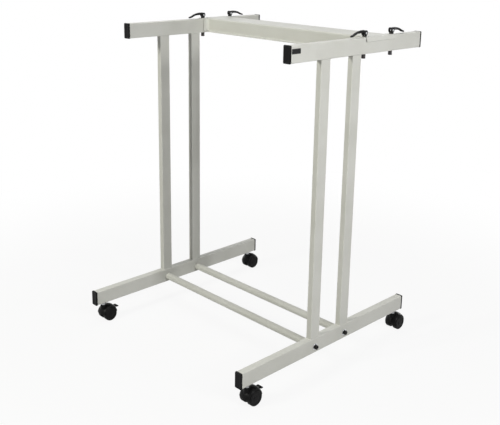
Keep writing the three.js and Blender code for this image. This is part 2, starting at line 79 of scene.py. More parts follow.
# The nodes of one material or of the world; node() adds any node, sets it up and feeds its sockets
class Nodes:
    def __init__(self, owner):
        owner.use_nodes = True
        self.owner = owner
        self.tree = owner.node_tree
        self.tree.nodes.clear()

    def node(self, kind, settings=None, sockets=None, out=0):
        made = self.tree.nodes.new(kind)
        for key, value in (settings or {}).items():
            setattr(made, key, value)
        for key, value in (sockets or {}).items():
            if isinstance(value, Value):
                self.tree.links.new(value.socket, made.inputs[key])
            else:
                made.inputs[key].default_value = value
        return Value(self, made.outputs[out]) if len(made.outputs) else None

    def coords(self):
        return self.node("ShaderNodeTexCoord", out="Object")

    def corner(self):
        return self.node("ShaderNodeAttribute", {"attribute_name": "edge"}, out="Fac")

    # A scale of three numbers stretches the noise along the axes
    def noise(self, at, scale, detail, rough=0.5):
        if isinstance(scale, tuple):
            at = self.node("ShaderNodeMapping", {}, {"Vector": at, "Scale": scale})
            scale = 1.0
        sockets = {"Vector": at, "Scale": scale, "Detail": detail, "Roughness": rough}
        return self.node("ShaderNodeTexNoise", {}, sockets)

    # Smooth step between two values
    def band(self, value, low, high, bottom=0.0, top=1.0):
        sockets = {"Value": value, "From Min": low, "From Max": high, "To Min": bottom, "To Max": top}
        return self.node("ShaderNodeMapRange", {"interpolation_type": "SMOOTHSTEP"}, sockets)

    # The colour mix has its factor at 0, its two colours at 6 and 7 and its result at 2
    def mix(self, share, first, second):
        return self.node("ShaderNodeMix", {"data_type": "RGBA"}, {0: share, 6: first, 7: second}, 2)

    def bump(self, height, strength, distance):
        sockets = {"Height": height, "Strength": strength, "Distance": distance}
        return self.node("ShaderNodeBump", {}, sockets)

    # 1 for what the camera sees, also in a mirror, and 0 for light on its way between surfaces
    def seenDirectly(self):
        rays = ("Is Camera Ray", "Is Glossy Ray", "Is Transmission Ray")
        camera, glossy, through = [self.node("ShaderNodeLightPath", out=ray) for ray in rays]
        return camera.most(glossy).most(through)

    # One Principled shader with these values and links, and the material it makes
    def finish(self, sockets):
        shader = self.node("ShaderNodeBsdfPrincipled", {}, sockets)
        self.node("ShaderNodeOutputMaterial", {}, {"Surface": shader})
        return self.owner


# Screen colour from 0 to 255, times a tone, as the linear colour that sockets take
def linear(red, green, blue, tone=1.0):
    shares = [tone * c / 255 for c in (red, green, blue)]
    return tuple(c / 12.92 if c <= 0.04045 else ((c + 0.055) / 1.055) ** 2.4 for c in shares) + (1.0,)


# In the finishes, a noise is its scale, detail and roughness and wanders about 0.5, a band is its low and
# high value, and a bump is its strength and distance

# Powder coat: satin warm grey with orange peel, a faint cloudiness, fine specks and worn corners
coat = {
    "colour": linear(206, 206, 200), "shade": linear(198, 198, 191), "speck": linear(168, 167, 160),
    "worn": linear(216, 216, 210), "roughness": 0.37, "gloss": 0.26, "lacquer": 0.02, "lacquerRough": 0.3,
    "cloud": (7.0, 3.0), "cloudBand": (0.3, 0.7), "cloudRough": 0.1,
    "peel": (850.0, 1.0), "peelBump": (0.25, 0.00003), "peelRough": 0.12,
    "specks": (2100.0, 0.0), "speckBand": (0.7, 0.78), "speckShare": 0.35,
    "scuffs": ((40.0, 40.0, 260.0), 3.0, 0.6), "scuffBand": (0.45, 0.7), "wornShare": 0.5, "wornRough": 0.08,
    "cornerLacquer": 0.06,
}


def powderCoat():
    tree = Nodes(bpy.data.materials.new("powderCoat"))
    at = tree.coords()
    corner = tree.corner()
    cloud = tree.noise(at, *coat["cloud"])
    peel = tree.noise(at, *coat["peel"])
    specks = tree.band(tree.noise(at, *coat["specks"]), *coat["speckBand"])
    rubbed = corner * tree.band(tree.noise(at, *coat["scuffs"]), *coat["scuffBand"])
    colour = tree.mix(tree.band(cloud, *coat["cloudBand"]), coat["colour"], coat["shade"])
    colour = tree.mix(specks * coat["speckShare"], colour, coat["speck"])
    colour = tree.mix(rubbed * coat["wornShare"], colour, coat["worn"])
    rough = coat["roughness"] + coat["cloudRough"] * (cloud - 0.5) + coat["peelRough"] * (peel - 0.5)
    rough = rough - coat["wornRough"] * rubbed
    return tree.finish({
        "Base Color": colour, "Roughness": rough, "IOR": 1.5, "Specular IOR Level": coat["gloss"],
        "Coat Weight": coat["lacquer"] + coat["cornerLacquer"] * corner,
        "Coat Roughness": coat["lacquerRough"], "Normal": tree.bump(peel, *coat["peelBump"]),
    })


# Moulded plastic: near black with a spark-eroded grain, paler rubbed edges and a little dust
mould = {
    "colour": linear(10, 10, 11), "pale": linear(32, 32, 32), "dust": linear(70, 68, 64), "gloss": 0.09,
    "grain": (1500.0, 2.0, 0.6), "grainBump": (0.5, 0.00006), "grainRough": 0.1,
    "flow": (45.0, 3.0), "flowPale": 0.2, "flowRough": 0.14,
    "scuff": ((90.0, 700.0, 300.0), 2.0), "scuffBand": (0.6, 0.75), "scuffPale": 0.25,
    "settled": (160.0, 4.0, 0.65), "settledBand": (0.52, 0.8), "cornerPale": 0.45, "cornerRough": 0.08,
}


def mouldedPlastic(name, roughness, dust):
    tree = Nodes(bpy.data.materials.new(name))
    at = tree.coords()
    corner = tree.corner()
    grain = tree.noise(at, *mould["grain"])
    flow = tree.noise(at, *mould["flow"])
    scuff = tree.band(tree.noise(at, *mould["scuff"]), *mould["scuffBand"])
    settled = tree.band(tree.noise(at, *mould["settled"]), *mould["settledBand"])
    pale = corner * mould["cornerPale"] + scuff * mould["scuffPale"] + mould["flowPale"] * flow
    colour = tree.mix(pale, mould["colour"], mould["pale"])
    colour = tree.mix(settled * dust, colour, mould["dust"])
    rough = roughness + mould["flowRough"] * (flow - 0.5) + mould["grainRough"] * (grain - 0.5)
    rough = rough - mould["cornerRough"] * corner
    return tree.finish({
        "Base Color": colour, "Roughness": rough, "IOR": 1.49, "Specular IOR Level": mould["gloss"],
        "Normal": tree.bump(grain, *mould["grainBump"]),
    })


# Black oxide steel: dark metal with a brown cast, turning marks and bare rubbed corners
oxide = {
    "colour": (24, 24, 26), "brown": (34, 30, 27), "bare": (110, 110, 110),
    "cast": (120.0, 3.0), "castBand": (0.35, 0.7), "metal": 0.55, "roughness": 0.36,
    "marks": ((300.0, 300.0, 2600.0), 1.0), "marksBump": (0.25, 0.00004), "marksRough": 0.16,
    "rub": (900.0, 2.0), "rubBand": (0.45, 0.75), "rubShare": 0.6, "rubMetal": 0.3,
}


def blackOxide(name, tone, gloss):
    tree = Nodes(bpy.data.materials.new(name))
    at = tree.coords()
    base, brown, bare = [linear(*oxide[key], tone) for key in ("colour", "brown", "bare")]
    cast = tree.noise(at, *oxide["cast"])
    marks = tree.noise(at, *oxide["marks"])
    rubbed = tree.corner() * tree.band(tree.noise(at, *oxide["rub"]), *oxide["rubBand"])
    colour = tree.mix(tree.band(cast, *oxide["castBand"]), base, brown)
    colour = tree.mix(rubbed * oxide["rubShare"], colour, bare)
    return tree.finish({
        "Base Color": colour, "Metallic": oxide["metal"] + oxide["rubMetal"] * rubbed,
        "Roughness": oxide["roughness"] + oxide["marksRough"] * (marks - 0.5), "IOR": 1.6,
        "Specular IOR Level": gloss, "Normal": tree.bump(marks, *oxide["marksBump"]),
    })


# Coated die casting: black, semi gloss, gently rippled, grey where a thumb rubs the corners
casting = {
    "colour": linear(16, 16, 17), "thumb": linear(70, 70, 71), "gloss": 0.12, "metal": 0.15,
    "roughness": 0.34, "lacquer": 0.1, "lacquerRough": 0.15,
    "ripple": (260.0, 2.0), "rippleRough": 0.18, "grit": (1900.0, 1.0), "gritShare": 0.3,
    "bump": (0.3, 0.00008), "rub": (420.0, 3.0), "rubBand": (0.42, 0.7), "rubShare": 0.7, "rubMetal": 0.4,
    "rubLacquer": 0.06,
}


def coatedCasting():
    tree = Nodes(bpy.data.materials.new("coatedCasting"))
    at = tree.coords()
    ripple = tree.noise(at, *casting["ripple"])
    grit = tree.noise(at, *casting["grit"])
    rubbed = tree.corner() * tree.band(tree.noise(at, *casting["rub"]), *casting["rubBand"])
    height = ripple + casting["gritShare"] * grit
    return tree.finish({
        "Base Color": tree.mix(rubbed * casting["rubShare"], casting["colour"], casting["thumb"]),
        "Metallic": casting["metal"] + casting["rubMetal"] * rubbed,
        "Roughness": casting["roughness"] + casting["rippleRough"] * (ripple - 0.5), "IOR": 1.5,
        "Specular IOR Level": casting["gloss"], "Coat Roughness": casting["lacquerRough"],
        "Coat Weight": casting["lacquer"] - casting["rubLacquer"] * rubbed,
        "Normal": tree.bump(height, *casting["bump"]),
    })


# Zinc plate: bright, slightly cool, turned rings along one axis and dull patches
zinc = {
    "bright": (214, 216, 218), "dull": (168, 170, 172), "roughness": 0.24, "metal": 0.92,
    "ringDetail": 2.0, "ringBump": (0.3, 0.00003), "ringRough": 0.2,
    "patches": (210.0, 3.0), "patchBand": (0.35, 0.7), "patchRough": 0.14, "patchMetal": 0.06,
    "ringsOnX": (2600.0, 300.0, 300.0), "ringsOnZ": (250.0, 250.0, 2600.0),
}


def zincPlate(name, rings, tone):
    tree = Nodes(bpy.data.materials.new(name))
    at = tree.coords()
    lines = tree.noise(at, zinc[rings], zinc["ringDetail"])
    patches = tree.noise(at, *zinc["patches"])
    bright, dull = [linear(*zinc[key], tone) for key in ("bright", "dull")]
    rough = zinc["roughness"] + zinc["ringRough"] * (lines - 0.5) + zinc["patchRough"] * (patches - 0.5)
    return tree.finish({
        "Base Color": tree.mix(tree.band(patches, *zinc["patchBand"]), bright, dull), "Roughness": rough,
        "Metallic": zinc["metal"] + zinc["patchMetal"] * patches,
        "Normal": tree.bump(lines, *zinc["ringBump"]),
    })


# Blank plate: dark satin foil with a paler rim
foil = {
    "colour": linear(20, 20, 21), "rim": linear(80, 80, 80), "gloss": 0.2, "roughness": 0.38, "metal": 0.2,
    "brush": ((200.0, 60.0, 2400.0), 2.0), "brushBump": (0.2, 0.00003), "brushRough": 0.18,
    "brushMetal": 0.1, "brushPale": 0.12, "rimPale": 0.6,
}


def plateFoil():
    tree = Nodes(bpy.data.materials.new("plateFoil"))
    brush = tree.noise(tree.coords(), *foil["brush"])
    pale = tree.corner() * foil["rimPale"] + foil["brushPale"] * brush
    return tree.finish({
        "Base Color": tree.mix(pale, foil["colour"], foil["rim"]),
        "Roughness": foil["roughness"] + foil["brushRough"] * (brush - 0.5),
        "Metallic": foil["metal"] + foil["brushMetal"] * brush, "IOR": 1.5,
        "Specular IOR Level": foil["gloss"], "Normal": tree.bump(brush, *foil["brushBump"]),
    })


# Each look is a material and the slot that its pieces belong to
looks = {
    "paint": (powderCoat(), "paint"),
    "cap": (mouldedPlastic("capPlastic", roughness=0.46, dust=0.05), "black_plastic"),
    "castor": (mouldedPlastic("castorPlastic", roughness=0.4, dust=0.07), "black_plastic"),
    "wheel": (mouldedPlastic("wheelPlastic", roughness=0.48, dust=0.12), "black_plastic"),
    # The screws and the bolts share one black oxide. The bolts' copy is painted lighter, as if lit: a painted
    # highlight for the light on the bolt heads under the rails. The screws' copy stays near black.
    "screw": (blackOxide("screwOxide", tone=0.8, gloss=0.2), "black_steel"),
    "bolt": (blackOxide("boltOxidePaintedLight", tone=2.1, gloss=0.36), "black_steel"),
    "lever": (coatedCasting(), "dark_alloy"),
    # The collars' zinc is painted darker than the washers' and the barrels': painted shade for the shadow on
    # the collars under the base rails.
    "collar": (zincPlate("collarZincPaintedShade", "ringsOnZ", tone=0.86), "bright_steel"),
    "washer": (zincPlate("washerZinc", "ringsOnX", tone=1.0), "bright_steel"),
    "barrel": (zincPlate("barrelZinc", "ringsOnX", tone=0.95), "bright_steel"),
    "plate": (plateFoil(), "black_plastic"),
}
print("finishes:", len(looks))


# A shell is an array of points and a list of faces. Quads join neighbouring points of a grid of rows
# and columns, and the last column joins the first.
def gridFaces(rows, cols):
    i, j = np.meshgrid(np.arange(rows - 1), np.arange(cols), indexing="ij")
    here, beside = i * cols + j, i * cols + (j + 1) % cols
    return np.stack([here, here + cols, beside + cols, beside], -1).reshape(-1, 4).tolist()


# Closed loops joined one after another, with a flat face over each end
def loft(loops):
    loops = np.stack(loops)
    rows, cols = loops.shape[:2]
    ends = [list(range(cols)), list(range((rows - 1) * cols, rows * cols))]
    return loops.reshape(-1, 3), gridFaces(rows, cols) + ends


def circleAngles(sides):
    return np.arange(sides) * 2 * math.pi / sides


# A profile of radius and height turned a full circle about Z; a radius may also swing round the circle
def turned(profile, sides=48):
    a = circleAngles(sides)
    radius = np.stack([np.broadcast_to(reach, sides) for reach, height in profile])
    height = np.array([height for reach, height in profile], float)
    points = np.stack([radius * np.cos(a), radius * np.sin(a), np.repeat(height[:, None], sides, 1)], -1)
    return points.reshape(-1, 3), gridFaces(len(profile), sides)


# Loop round a rectangle with quarter-circle corners; a point just past each corner keeps flats flat
def roundedLoop(width, height, radius, steps=6, hold=0.5):
    a = np.linspace(0, math.pi / 2, steps + 1)
    arc = np.stack([np.cos(a), np.sin(a)], -1) * radius
    corner = np.concatenate([[[radius, -hold]], arc, [[-hold, radius]]])
    centre = np.array([width / 2 - radius, height / 2 - radius])
    loop = []
    for cosine, sine, across, up in [(1, 0, 1, 1), (0, 1, -1, 1), (-1, 0, -1, -1), (0, -1, 1, -1)]:
        spin = np.array([[cosine, sine], [-sine, cosine]])
        loop.append(corner @ spin + centre * [across, up])
    return np.concatenate(loop)


# A flat loop set square to the axis 0, 1 or 2 at one place along it
def placed(flat, axis, place):
    return np.insert(flat, axis, place, axis=1)


# A flat loop carried straight along an axis, with a loop close to each end that keeps the ends crisp
def straightBar(flat, axis, low, high, hold=0.6):
    return loft([placed(flat, axis, place) for place in (low, low + hold, high - hold, high)])


def moved(shell, x=0.0, y=0.0, z=0.0):  # shifted by the three lengths
    return shell[0] + np.array([x, y, z]), shell[1]


def axisX(shell):  # what was turned about Z, laid along X
    return shell[0][:, [2, 0, 1]], shell[1]


def halfTurn(shell, sign):  # a sign of -1 turns it half round Z
    return shell[0] * np.array([sign, sign, 1.0]), shell[1]


def sided(shell, sign):  # a sign of -1 mirrors it in X
    return shell[0] * np.array([sign, 1.0, 1.0]), shell[1]


# A rod along X with both ends alike: one end's profile of radius and place, mirrored and turned
def rod(end, sides):
    return axisX(turned([(radius, -place) for radius, place in end] + end[::-1], sides))


# Rounded edge of a profile: points on a circle's arc between two directions in degrees
def fillet(across, up, radius, start, stop, steps=5):
    a = np.radians(np.linspace(start, stop, steps))
    return list(zip(across + radius * np.cos(a), up + radius * np.sin(a)))


# Pieces: points within the merge distance become one, faces that lean apart by more than the
# sharp angle meet in an edge, and the wear runs from none to full between two leans, in degrees
mesher = {"merge": 2e-7, "sharp": 40.0, "wearFrom": 5.0, "wearTo": 19.0}


def meshNumbers(items, key, width=1, kind=float):
    numbers = np.empty(len(items) * width, kind)
    items.foreach_get(key, numbers)
    return numbers


# How far each point's faces lean from their mean direction, from 0 on a flat to 1 on a corner
def cornerShare(mesh):
    normals = meshNumbers(mesh.polygons, "normal", 3).reshape(-1, 3)
    points = meshNumbers(mesh.loops, "vertex_index", kind=int)
    owners = np.repeat(np.arange(len(normals)), meshNumbers(mesh.polygons, "loop_total", kind=int))
    total = np.zeros((len(mesh.vertices), 3))
    np.add.at(total, points, normals[owners])
    mean = total / np.maximum(np.linalg.norm(total, axis=1), 1e-9)[:, None]
    lean = np.ones(len(mesh.vertices))
    np.minimum.at(lean, points, np.sum(mean[points] * normals[owners], 1))
    angle = np.degrees(np.arccos(np.clip(lean, -1, 1)))
    return np.clip((angle - mesher["wearFrom"]) / (mesher["wearTo"] - mesher["wearFrom"]), 0, 1)


def makePiece(name, shells, look, body, nodes=()):
    points, faces, first = [], [], 0
    for verts, polys in shells:
        points.append(verts)
        faces += [[i + first for i in poly] for poly in polys]
        first += len(verts)
    mesh = bpy.data.meshes.new(name)
    mesh.from_pydata((np.concatenate(points) * mm).tolist(), [], faces)
    work = bmesh.new()
    work.from_mesh(mesh)
    bmesh.ops.remove_doubles(work, verts=work.verts, dist=mesher["merge"])
    bmesh.ops.recalc_face_normals(work, faces=work.faces)
    work.to_mesh(mesh)
    work.free()
    share = mesh.attributes.new("edge", "FLOAT", "POINT")
    share.data.foreach_set("value", cornerShare(mesh).astype(np.float32))
    mesh.shade_smooth()
    mesh.set_sharp_from_angle(angle=math.radians(mesher["sharp"]))
    material, slot = looks[look]
    mesh.materials.append(material)
    piece = bpy.data.objects.new(name, mesh)
    bpy.context.scene.collection.objects.link(piece)
    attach(piece, body)
    if nodes:
        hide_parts(*nodes)


# Side frames: tubes of rounded rectangle section, straight along Y or Z
side = {
    "innerWidth": 720.0, "baseLength": 780.0, "topLength": 612.0, "clearHeight": 883.0,
    "railHeight": 50.0, "railWidth": 25.0, "railRadius": 3.0, "postDepth": 40.0, "postWidth": 20.0,
    "postRadius": 2.5, "postSpacing": 142.0, "baseBottom": 70.0,
}
weld = {"rise": 3.0, "alongY": 2.6, "alongX": 1.2, "sunk": 0.9}
railX = (side["innerWidth"] + side["railWidth"]) / 2
railOuter = railX + side["railWidth"] / 2
railRear = side["baseLength"] / 2
topFront = railRear - side["topLength"]
baseMiddle = side["baseBottom"] + side["railHeight"] / 2
baseTop = side["baseBottom"] + side["railHeight"]
topBottom = baseTop + side["clearHeight"]
topMiddle = topBottom + side["railHeight"] / 2
topTop = topBottom + side["railHeight"]
railLevels = {"Base": (-railRear, baseMiddle), "Top": (topFront, topMiddle)}  # front end and height


# Concave weld round a post: over a quarter circle the bead draws in by the sine of the angle and rises
# by one less its cosine
def weldBead(up):
    loops = []
    for angle in np.linspace(0, math.pi / 2, 6):
        out = 1 - math.sin(angle)
        loop = roundedLoop(side["postWidth"] + 2 * weld["alongX"] * out,
                           side["postDepth"] + 2 * weld["alongY"] * out, side["postRadius"] + out, 5)
        loops.append(placed(loop, 2, up * weld["rise"] * (1 - math.cos(angle))))
    foot = loops[0].copy()
    foot[:, 2] = -up * weld["sunk"]
    return loft([foot] + loops)


railLoop = roundedLoop(side["railWidth"], side["railHeight"], side["railRadius"])
postLoop = roundedLoop(side["postWidth"], side["postDepth"], side["postRadius"])
for sideName, sx in sideSigns.items():
    x = sx * railX
    for level, (front, z) in railLevels.items():
        bar = straightBar(railLoop, 1, front, railRear)
        makePiece(f"{sideName}{level}Rail", [moved(bar, x, 0, z)], "paint", "frame",
                  [f"{sideName}_{level.lower()}_rail"])
    for endName, ey in endSigns.items():
        y = ey * side["postSpacing"] / 2
        bar = straightBar(postLoop, 2, baseTop, topBottom)
        beads = [moved(weldBead(1), 0, 0, baseTop), moved(weldBead(-1), 0, 0, topBottom)]
        post = [moved(shell, x, y) for shell in [bar] + beads]
        makePiece(f"{sideName}{endName.title()}Post", post, "paint", "frame", [f"{sideName}_{endName}_post"])
print("side frames done")


# End caps: rounded rectangle loops drawn in step by step over a rounded rim to a flat, dished face. The
# dish is insets from the rim's inner edge and depths below the face.
cap = {"flange": 6.2, "over": 0.8, "round": 1.6, "rim": 2.6, "lip": 0.3, "lipGap": 0.25, "railGap": 0.05,
       "leastRadius": 0.8, "dish": [(-0.5, 0.0), (0.0, 0.15), (0.6, 0.5), (1.2, 0.5)]}


def capShell():
    face, bend, lip = cap["flange"], cap["round"], cap["lip"]
    steps = [(-cap["lipGap"], cap["railGap"]), (0.0, lip), (0.0, face - bend - lip)]
    steps += fillet(-bend, face - bend, bend, 0, 90, 6)
    steps += [(-bend - cap["rim"] - inset, face - depth) for inset, depth in cap["dish"]]
    loops = []
    for out, depth in steps:
        grow = 2 * (out + cap["over"])
        loop = roundedLoop(side["railWidth"] + grow, side["railHeight"] + grow,
                           max(side["railRadius"] + out / 2, cap["leastRadius"]))
        loops.append(placed(loop, 1, depth))
    return loft(loops)


for name, node, sx, ey in corners:
    lid = halfTurn(capShell(), ey)
    for level, (front, z) in railLevels.items():
        y = railRear if ey > 0 else front
        makePiece(f"{name}{level}Cap", [moved(lid, sx * railX, y, z)], "cap", "frame",
                  [f"{node}_{level.lower()}_cap"])
print("end caps done")


# Cross tubes: a plain turned bar with a slight chamfer where it meets the rails
tube = {"diameter": 25.0, "spacing": 144.0, "height": 21.0, "chamfer": 0.6, "hold": 1.6}
tubeZ = side["baseBottom"] + tube["height"]


def tubeBar():
    half, r, chamfer = side["innerWidth"] / 2, tube["diameter"] / 2, tube["chamfer"]
    return rod([(0, half), (r - chamfer, half), (r, half - chamfer), (r, half - tube["hold"])], 64)


for endName, ey in endSigns.items():
    bar = moved(tubeBar(), 0, ey * tube["spacing"] / 2, tubeZ)
    makePiece(f"{endName}CrossTube", [bar], "paint", "frame", [f"{endName}_cross_tube"])


# Tube screws: a knurled head with a six-sided socket. The foot is insets from the plain radius and rises
# from the washer, the crown insets and depths below the top.
screw = {"head": 14.2, "height": 8.0, "socket": 6.0, "socketDepth": 4.2, "socketFlare": 0.35,
         "socketEdge": 0.3, "drillPoint": 0.8, "knurls": 36, "knurlDepth": 0.14, "knurlFoot": 1.2,
         "knurlTop": 2.0, "neck": 0.1, "foot": [(0.5, 0.0), (0.0, 0.5), (0.0, 0.9)],
         "crown": [(0.0, 1.7), (0.0, 0.9), (0.25, 0.3), (0.8, 0.0)]}
washer = {"diameter": 21.0, "thickness": 1.6, "edge": 0.35, "backEdge": 0.3, "railGap": 0.02, "seat": 9.0}


# Rings of a socket head: the radius swings with the knurls on the side and follows a hexagon inside,
# where it is the flat's distance over the cosine of the angle to the flat's middle
def screwHead():
    count = screw["knurls"] * 4
    a = circleAngles(count)
    hexagon = screw["socket"] / 2 / np.cos((a + math.pi / 6) % (math.pi / 3) - math.pi / 6)
    knurl = screw["head"] / 2 - screw["knurlDepth"] * (0.5 + 0.5 * np.cos(a * screw["knurls"]))
    plain = screw["head"] / 2 - screw["neck"]
    low, top = washer["thickness"], washer["thickness"] + screw["height"]
    deep = top - screw["socketDepth"]
    rings = [(0, low)] + [(plain - inset, low + rise) for inset, rise in screw["foot"]]
    rings += [(knurl, low + screw["knurlFoot"]), (knurl, top - screw["knurlTop"])]
    rings += [(plain - inset, top - depth) for inset, depth in screw["crown"]]
    rings += [(hexagon + screw["socketFlare"], top), (hexagon, top - screw["socketEdge"]), (hexagon, deep)]
    return axisX(turned(rings + [(0, deep - screw["drillPoint"])], count))


# Washer: a turned disc with small chamfers, its hole hidden by the head
def washerDisc():
    r, thick, edge = washer["diameter"] / 2, washer["thickness"], washer["edge"]
    back, gap = washer["backEdge"], washer["railGap"]
    profile = [(0, gap), (r - back, gap), (r, back), (r, thick - edge), (r - edge, thick)]
    return axisX(turned(profile + [(washer["seat"] / 2, thick), (0, thick)], 64))


for name, node, sx, ey in corners:
    place = (sx * railOuter, ey * tube["spacing"] / 2, tubeZ)
    makePiece(f"{name}TubeScrew", [moved(halfTurn(screwHead(), sx), *place)], "screw", "frame",
              [f"{node}_tube_screw"])
    makePiece(f"{name}Washer", [moved(halfTurn(washerDisc(), sx), *place)], "washer", "frame")
print("tubes and screws done")


# Cross beam: sheets whose middle lines have rounded bends, as thick to one side as to the other
beam = {"front": 105.0, "depth": 129.0, "height": 47.5, "recess": 17.0, "bend": 6.0, "sheet": 1.6,
        "fit": 0.3, "lipDrop": 14.0, "lipBend": 2.6, "lipFlare": 3.4, "lead": 1.0, "lapDepth": 148.0,
        "tabBend": 13.0, "tabGap": 1.2, "tabLift": 2.4}
plateTop = topTop + beam["sheet"]


# Each corner becomes an arc of the given radius: the tangent points lie radius times the tangent of
# half the turn before and after it. Points and their left-hand normals are returned.
def bentLine(points, radius, steps=7, hold=0.5):
    points = np.asarray(points, float)
    ways = np.diff(points, axis=0)
    ways /= np.linalg.norm(ways, axis=1)[:, None]
    left = np.stack([-ways[:, 1], ways[:, 0]], -1)
    places, normals = [points[0]], [left[0]]
    for corner, way, nextWay, normal, nextNormal in zip(points[1:-1], ways, ways[1:], left, left[1:]):
        swing = math.atan2(normal @ nextWay, way @ nextWay)
        reach = radius * np.sign(swing)
        centre = corner - way * radius * abs(math.tan(swing / 2)) + normal * reach
        a = np.linspace(0, swing, steps)[:, None]
        swung = np.cos(a) * normal - np.sin(a) * way
        arc = centre - swung * reach
        places += [arc[0] - way * hold, *arc, arc[-1] + nextWay * hold]
        normals += [normal, *swung, nextNormal]
    return np.array(places + [points[-1]]), np.array(normals + [left[-1]])


# Loop round a sheet: the bent line set off to both sides by half the sheet's thickness
def sheetLoop(points, radius):
    places, normals = bentLine(points, radius)
    offset = normals * beam["sheet"] / 2
    return np.concatenate([places + offset, (places - offset)[::-1]])


# The channel ends short of the rails, where tabs bend forward from its web. Above the tabs the plate
# runs on to the rails, and laps carry it over them to the lips.
def beamShells():
    t, depth, height = beam["sheet"] / 2, beam["depth"], beam["height"]
    web, rear = beam["recess"] + t, depth - t
    reach = side["innerWidth"] / 2 - beam["fit"]
    tabX = reach - beam["tabGap"] - t
    inner = tabX - beam["tabBend"]
    lipX = railOuter + beam["fit"] + t
    fold = [(0.0, t - height), (web, t - height), (web, -t), (rear, -t), (rear, -height)]
    channel = straightBar(sheetLoop(fold, beam["bend"] - t), 0, -inner, inner)
    fold = [(web - t, -t), (rear, -t), (rear, -height)]
    plateEnd = straightBar(sheetLoop(fold, beam["bend"] - t), 0, inner, reach)
    fold = [(tabX, 0.0), (tabX, web), (inner, web)]
    tab = straightBar(sheetLoop(fold, beam["tabBend"] - t), 2, beam["tabLift"] - height, -beam["sheet"])
    fold = [(reach, -t), (lipX, -t), (lipX + beam["lipFlare"], -beam["lipDrop"])]
    lapRear = beam["lead"] + beam["lapDepth"]
    lap = straightBar(sheetLoop(fold, beam["lipBend"] - t), 1, beam["lead"], lapRear)
    return [channel] + [sided(shell, sx) for shell in (plateEnd, tab, lap) for sx in sideSigns.values()]


folds = [moved(shell, 0, beam["front"], plateTop) for shell in beamShells()]
makePiece("crossBeam", folds, "paint", "frame", ["cross_beam"])
print("cross beam done")


# Cam clamps: at one place along Y for each end, with the cam set off below its pivot
clamp = {"frontY": 113.0, "rearY": 248.0, "fit": 0.3, "camRadius": 6.3, "camOffset": 0.8}
# Bolt: the hollow under its head is shares of the radius and rises
bolt = {"shank": 5.0, "head": 13.4, "headHeight": 14.5, "headRound": 1.4, "headEdge": 0.5,
        "hollow": [(0.0, 0.3), (0.45, 0.1)], "faceHold": 0.2, "sideHold": 0.8}
# Cradle: the rows are shares of its radius, from the foot over the side and the rim to the groove
cradle = {"diameter": 14.0, "floor": 3.4, "rise": 0.8, "footEdge": 0.35, "rimEdge": 0.3,
          "rows": [0.0, 0.95, 1.0, 1.0, 0.95, 0.75, 0.55, 0.35, 0.15, 0.0]}
barrel = {"diameter": 7.6, "stand": 0.4, "edge": 0.5, "dimpleDepth": 0.15, "dimpleRim": 1.6}
# Lever: the sweep and the spread give the arm's heights and widths at shares of its length, and the
# swell gives its thicknesses at shares of the way from the first loop to the last
lever = {"headWidth": 15.4, "slotFit": 0.35, "slotEdge": 0.3, "cheekRound": 0.7, "cheekHold": 0.5,
         "brow": 6.6, "browRise": 2.0, "length": 66.0, "loops": 44, "roundShare": 0.42, "endShare": 0.8,
         "sweep": [(0, 1.4), (0.13, 4.2), (0.32, 4.4), (0.58, 1.8), (0.82, -4.6), (1, -7.6)],
         "spread": [(0, 15.2), (0.09, 15.1), (0.36, 7.2), (0.6, 7.2), (0.88, 10), (0.97, 8), (1, 4.5)],
         "swell": [(0, 8.28), (0.2, 8.97), (0.4, 8.74), (0.6, 6.9), (0.8, 5.75), (0.96, 4.37), (1, 2.3)]}
pivotHeight = plateTop + cradle["floor"] + clamp["fit"] + clamp["camRadius"] + clamp["camOffset"]


# Bolt: a turned profile, with a rounded head under the rail and a shank that ends in the barrel
def boltShell():
    head, shank, bend, edge = bolt["head"] / 2, bolt["shank"] / 2, bolt["headRound"], bolt["headEdge"]
    low = -bolt["headHeight"]
    tip = pivotHeight + barrel["diameter"] / 4 - topBottom
    profile = [(head * share, low + rise) for share, rise in bolt["hollow"]]
    profile += [(head - bend - bolt["faceHold"], low)] + fillet(head - bend, low + bend, bend, -80, 0)
    profile += [(head, low + bend + bolt["sideHold"]), (head, -2 * edge), (head, -edge), (head - edge, 0)]
    return turned(profile + [(shank, 0), (shank, tip), (0, tip)])


# Round block with a hollow top: the height follows the groove's circle across Y, up to the rim. The
# first three rows are the foot, and the fourth is the rim's lower edge.
def cradleShell():
    shares = np.array(cradle["rows"])[:, None]
    a = circleAngles(48)
    x, y = [cradle["diameter"] / 2 * shares * swing for swing in (np.cos(a), np.sin(a))]
    groove = clamp["camRadius"] + clamp["fit"]
    hollow = cradle["floor"] + groove - np.sqrt(np.maximum(groove ** 2 - y ** 2, 0.0))
    z = np.minimum(hollow, cradle["floor"] + cradle["rise"])
    z[3] -= cradle["rimEdge"]
    z[:3] = [[0.0], [0.0], [cradle["footEdge"]]]
    points = np.stack([x, y, z], -1)
    return points.reshape(-1, 3), gridFaces(*x.shape)


# Barrel: a rod with chamfered ends and a shallow dimple in each
def barrelShell():
    r, half, edge = barrel["diameter"] / 2, lever["headWidth"] / 2 + barrel["stand"], barrel["edge"]
    deep = half - barrel["dimpleDepth"]
    end = [(0, deep), (r - barrel["dimpleRim"], deep), (r - edge, half), (r, half - edge)]
    return rod(end + [(r, half - 2 * edge)], 40)


# Points on a smooth line through the given ones: between two of them the usual cubic of four
# neighbours, with the end points doubled
def smoothLine(points, count):
    p = np.asarray(points, float)
    p = np.concatenate([p[:1], p, p[-1:]])
    s = np.linspace(0, len(points) - 1, count)
    k = np.minimum(s.astype(int), len(points) - 2)
    t = (s - k)[:, None]
    a, b, c, d = p[k], p[k + 1], p[k + 2], p[k + 3]
    square, cube = 2 * a - 5 * b + 4 * c - d, 3 * b - a - 3 * c + d
    return 0.5 * (2 * b + (c - a) * t + square * t ** 2 + cube * t ** 3)


